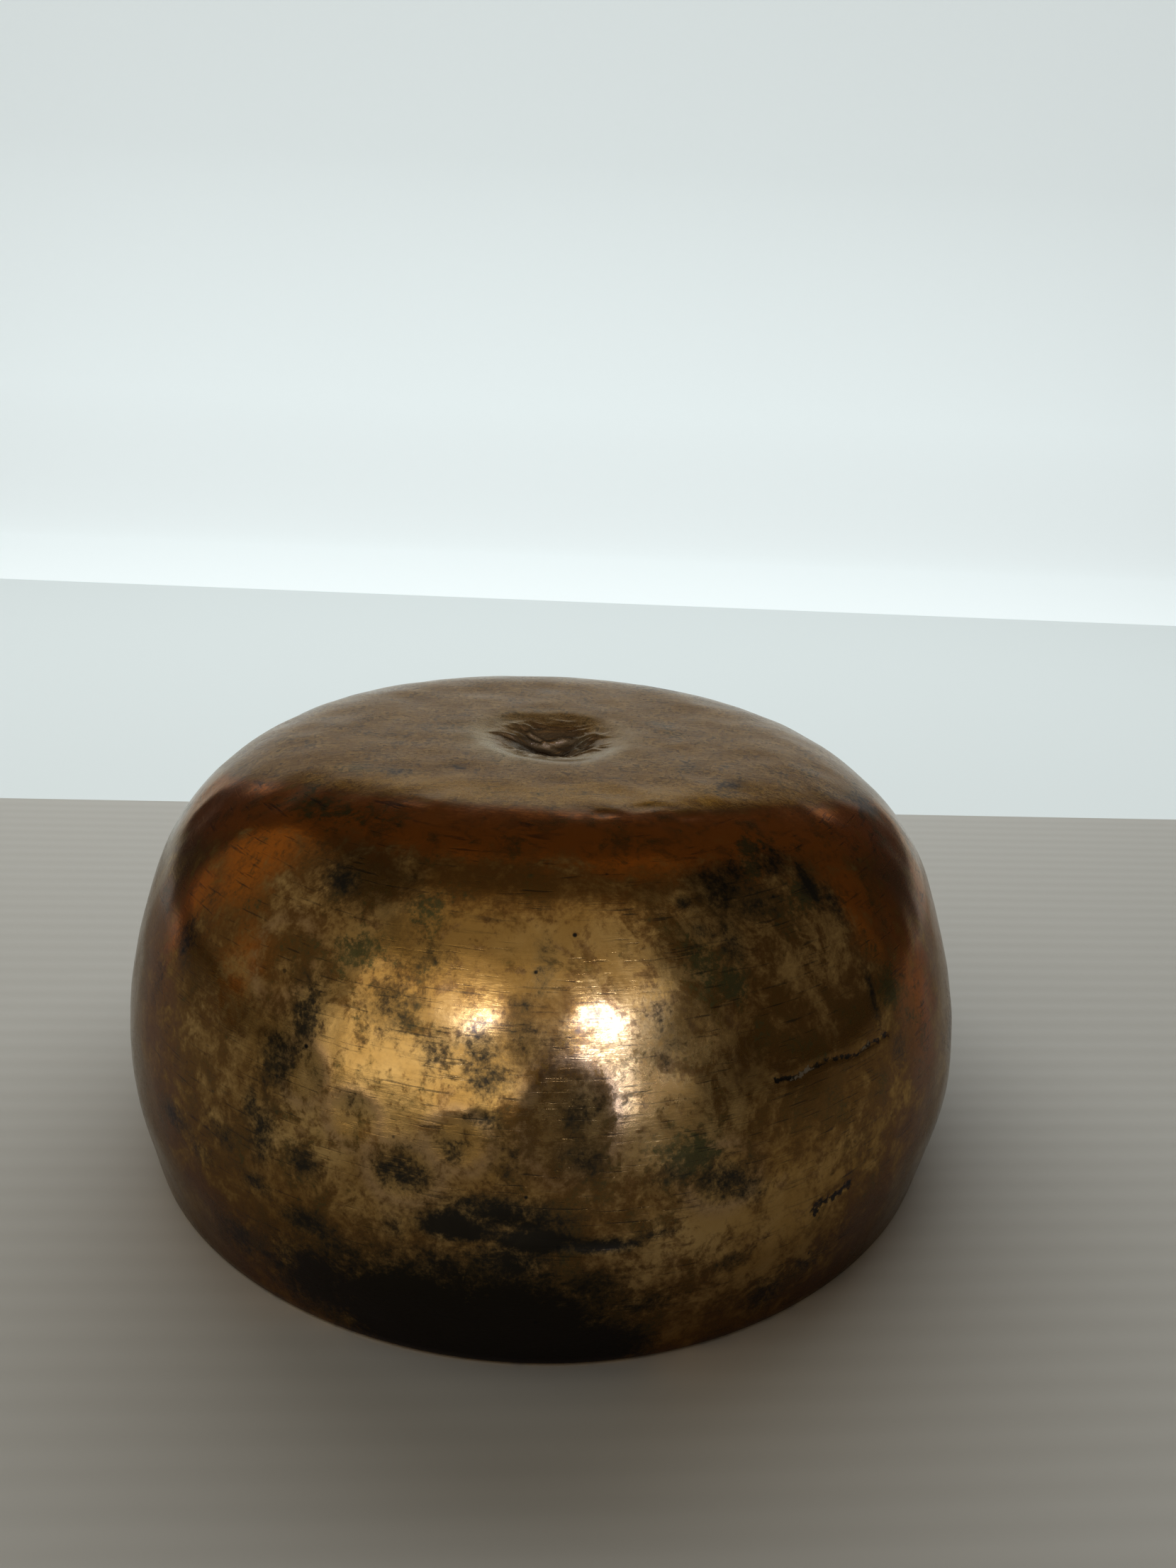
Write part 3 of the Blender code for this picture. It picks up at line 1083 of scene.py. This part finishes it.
# The ribs' valleys are painted darker than their ridges: painted shade in the ribs
BOARD_VALLEY_SHADED = (0.62, 0.61, 0.57, 1)
BOARD_RIDGE_LIT = (0.635, 0.625, 0.585, 1)
BOARD_FINISH = {"Roughness": 0.7, "Specular IOR Level": 0.2}
RIB_PITCH = 6.35 * MM
RIB_BUMP = 0.05 * MM
FIBRE_BUMP = 0.03 * MM
FIBRE_NOISE = (300, 4, 0.6)  # scale, detail, roughness
WAVE_RADIANS = 20  # what the wave texture goes through for each unit of its scaled place

WHITE_PAPER = (0.52, 0.560, 0.565, 1)
# The same paper as the wall, painted darker where the overhead light falls strongest: painted shade
TABLE_PAPER_SHADED = (0.40, 0.435, 0.435, 1)
PAPER_FINISH = {"Roughness": 0.9, "Specular IOR Level": 0.1, "Emission Strength": 0.84}

BACKDROP_HALF = 0.72
BACKDROP_SINK = 4.5 * MM
TABLE_FRONT = -2.0
SWEEP_START = 0.80
SWEEP_RADIUS = 0.12
SWEEP_STEPS = 12
TABLE_END = SWEEP_START - 0.2
WALL_TOP = 0.60

SURROUND_RADIUS = 2.4
SURROUND_BOTTOM = -0.01
SURROUND_TOP = 3.2
SURROUND_SIDES = 48


def board_material():
    """Grey card over faint ribs that run along X, with painted shade in the valleys between the ribs."""
    material, nodes, shader = new_material("grey_board")
    ribs = nodes.add("ShaderNodeTexWave", wave_type="BANDS", bands_direction="Y", wave_profile="SIN")
    nodes.link(nodes.place(), ribs.inputs["Vector"])
    ribs.inputs["Scale"].default_value = math.tau / (WAVE_RADIANS * RIB_PITCH)
    # painted shade: darker in the ribs' valleys
    colour = nodes.mix(nodes.ramp(ribs.outputs["Fac"], 0, 1), BOARD_VALLEY_SHADED, BOARD_RIDGE_LIT)
    nodes.link(colour, shader.inputs["Base Color"])
    set_inputs(shader, BOARD_FINISH)
    normal = nodes.bump(ribs.outputs["Fac"], RIB_BUMP)
    normal = nodes.bump(nodes.noise(nodes.place(), *FIBRE_NOISE), FIBRE_BUMP, normal)
    nodes.link(normal, shader.inputs["Normal"])
    return material


def paper_material(name, colour):
    material, _, shader = new_material(name)
    set_inputs(shader, {"Base Color": colour, "Emission Color": colour, **PAPER_FINISH})
    return material


def stage_mesh(name, points, faces, material):
    mesh = bpy.data.meshes.new(name)
    mesh.from_pydata(points, [], faces)
    mesh.materials.append(material)
    mesh.update()
    piece = bpy.data.objects.new(name, mesh)
    bpy.context.scene.collection.objects.link(piece)
    return piece


def make_board():
    """The board under the bowl: its back edge shows behind the bowl, slightly turned."""
    corners = (
        (-BOARD_HALF, -BOARD_HALF),
        (BOARD_HALF, -BOARD_HALF),
        (BOARD_HALF, BOARD_BACK),
        (-BOARD_HALF, BOARD_BACK),
    )
    points = [(x, y, level) for level in (0.0, -BOARD_THICKNESS) for x, y in corners]
    faces = [(0, 1, 2, 3), (7, 6, 5, 4), (0, 4, 5, 1), (1, 5, 6, 2), (2, 6, 7, 3), (3, 7, 4, 0)]
    board = stage_mesh("board", points, faces, board_material())
    board.rotation_euler.z = BOARD_TURN


def make_backdrop(white, table):
    """Pale table that curves up into a white wall; the table is the wall's paper painted darker, as shade
    against the overhead light.
    """
    profile = [(TABLE_FRONT, 0.0), (TABLE_END, 0.0), (SWEEP_START, 0.0)]
    for step in range(1, SWEEP_STEPS + 1):
        turn = step / SWEEP_STEPS * math.pi / 2
        forward, rise = SWEEP_RADIUS * math.sin(turn), SWEEP_RADIUS * (1 - math.cos(turn))
        profile.append((SWEEP_START + forward, rise))
    profile.append((SWEEP_START + SWEEP_RADIUS, WALL_TOP))
    points = [
        (side * BACKDROP_HALF, y, z - BACKDROP_SINK) for y, z in profile for side in (-1, 1)
    ]
    faces = [(i * 2, i * 2 + 1, i * 2 + 3, i * 2 + 2) for i in range(len(profile) - 1)]
    backdrop = stage_mesh("backdrop", points, faces, white)
    backdrop.data.materials.append(table)
    backdrop.data.polygons[0].material_index = 1
    backdrop.data.shade_smooth()


def make_surround(white):
    """A pale wall all round, seen by the camera alone, so that no view ends in the dark."""
    count = SURROUND_SIDES
    points, faces, floor = [], [], []
    for step in range(count):
        turn = math.tau * step / count
        x, y = SURROUND_RADIUS * math.cos(turn), SURROUND_RADIUS * math.sin(turn)
        points += [(x, y, SURROUND_BOTTOM), (x, y, SURROUND_TOP)]
        floor.append((x, y, SURROUND_BOTTOM))
        after = (step + 1) % count
        faces.append((step * 2, step * 2 + 1, after * 2 + 1, after * 2))
    faces.append(tuple(range(2 * count, 3 * count)))
    surround = stage_mesh("surround", points + floor, faces, white)
    surround.visible_glossy = False
    surround.visible_diffuse = False
    surround.visible_shadow = False


# ======== light and camera
DAYLIGHT = (0.84, 0.95, 1.50)
WARM = (1.0, 0.92, 0.76)
DAYLIGHT_WARM = (1.0, 0.96, 0.88)
LAMPLIGHT = (1.0, 0.80, 0.50)
COOL = (0.95, 0.98, 1.0)
AIM_SHARE = 0.6  # the lights aim at this share of the bowl's height

# Lights seen in the metal: azimuth, elevation, distance, width, height, radiance, colour
METAL_LIGHTS = {
    "window_right": (16.5, 29.5, 0.95, 0.060, 0.125, 50.0, DAYLIGHT),
    "window_left": (-18, 29.5, 0.95, 0.056, 0.095, 30.0, DAYLIGHT),
    "door_gap": (21, 10, 1.05, 0.020, 0.34, 16.0, DAYLIGHT),
    "front_left": (-29, 20, 1.1, 0.80, 0.82, 0.70, WARM),
    "front_low": (-32, 9, 1.05, 1.0, 0.36, 0.42, WARM),
    "front_right": (28, 20, 1.1, 0.40, 0.80, 0.26, WARM),
    "front_top": (-4, 41, 1.1, 1.45, 0.36, 0.42, WARM),
    "ceiling_front": (0, 66, 1.2, 1.3, 0.80, 0.30, WARM),
    "ceiling_above": (180, 86, 1.3, 1.1, 0.9, 0.085, LAMPLIGHT),
    "room_left": (-88, 28, 1.3, 1.5, 1.2, 0.19, WARM),
    "room_right": (80, 28, 1.3, 1.2, 1.2, 0.06, WARM),
}

# Lights on the stage alone, in the same form
STAGE_LIGHTS = {
    "overhead": (180, 50, 0.80, 1.4, 0.40, 2.16, COOL),
    "fill": (-70, 54, 0.90, 0.8, 0.60, 0.72, DAYLIGHT_WARM),
}

WORLD = {"Color": (1.0, 0.90, 0.74, 1), "Strength": 0.09}

CAMERA_DISTANCE = 241.6 * MM
CAMERA_HEIGHT = 158.7 * MM
CAMERA_PITCH = math.radians(19.75)
CAMERA_YAW = math.radians(1.98)
CAMERA_ROLL = math.radians(2.69)
SENSOR_WIDTH = 36
LENS = 27.0
NEAREST_SEEN = 0.01


def direction(azimuth, elevation):
    """A unit vector: azimuth 0 points from the bowl to the camera side, positive towards +X."""
    a, e = math.radians(azimuth), math.radians(elevation)
    return Vector((math.sin(a) * math.cos(e), -math.cos(a) * math.cos(e), math.sin(e)))


def soft_light(name, placing, on_metal):
    """A rectangular light that faces the bowl and lights either the metal or the stage."""
    azimuth, elevation, distance, width, height, radiance, colour = placing
    light = bpy.data.lights.new(name, "AREA")
    light.shape = "RECTANGLE"
    light.size = width
    light.size_y = height
    light.energy = radiance * math.pi * width * height
    light.color = colour
    lamp = bpy.data.objects.new(name, light)
    towards = direction(azimuth, elevation)
    lamp.location = Vector((0, 0, HEIGHT * AIM_SHARE)) + towards * distance
    lamp.rotation_euler = towards.to_track_quat("Z", "Y").to_euler()
    lamp.visible_camera = False
    lamp.visible_glossy = on_metal
    lamp.visible_diffuse = not on_metal
    bpy.context.scene.collection.objects.link(lamp)


def make_lights():
    for name, placing in METAL_LIGHTS.items():
        soft_light(name, placing, on_metal=True)
    for name, placing in STAGE_LIGHTS.items():
        soft_light(name, placing, on_metal=False)


def make_world():
    world = bpy.data.worlds.new("studio")
    bpy.context.scene.world = world
    world.use_nodes = True
    set_inputs(world.node_tree.nodes["Background"], WORLD)


def camera_turn():
    """The camera's axes as a matrix, from its yaw, pitch and roll."""
    forward = Vector(
        (
            math.sin(CAMERA_YAW) * math.cos(CAMERA_PITCH),
            math.cos(CAMERA_YAW) * math.cos(CAMERA_PITCH),
            -math.sin(CAMERA_PITCH),
        )
    )
    level = Vector((math.cos(CAMERA_YAW), -math.sin(CAMERA_YAW), 0))
    upright = level.cross(forward)
    right = math.cos(CAMERA_ROLL) * level + math.sin(CAMERA_ROLL) * upright
    up = math.cos(CAMERA_ROLL) * upright - math.sin(CAMERA_ROLL) * level
    return Matrix((right, up, -forward)).transposed().to_4x4()


def make_camera():
    data = bpy.data.cameras.new("camera")
    data.sensor_width = SENSOR_WIDTH
    data.lens = LENS
    data.clip_start = NEAREST_SEEN
    camera = bpy.data.objects.new("camera", data)
    place = AXIS_SHIFT + Vector((0, -CAMERA_DISTANCE, CAMERA_HEIGHT))
    camera.matrix_world = Matrix.Translation(place) @ camera_turn()
    bpy.context.scene.collection.objects.link(camera)
    bpy.context.scene.camera = camera


# ======== build
def make_stage():
    make_board()
    white = paper_material("white_paper", WHITE_PAPER)
    # the table's paper is a darker copy of the wall's: painted shade against the overhead light
    make_backdrop(white, paper_material("shaded_table_paper", TABLE_PAPER_SHADED))
    make_surround(white)


def make_bowl():
    mesh = make_bowl_mesh()
    mesh.materials.append(brass_material())
    bowl = bpy.data.objects.new("hammered_bowl", mesh)
    bpy.context.scene.collection.objects.link(bowl)
    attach(bowl, "root")
    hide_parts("bowl")


bpy.context.scene.view_settings.view_transform = "Standard"
bpy.context.scene.view_settings.look = "Medium High Contrast"
make_camera()
make_world()
make_stage()
make_lights()
make_bowl()
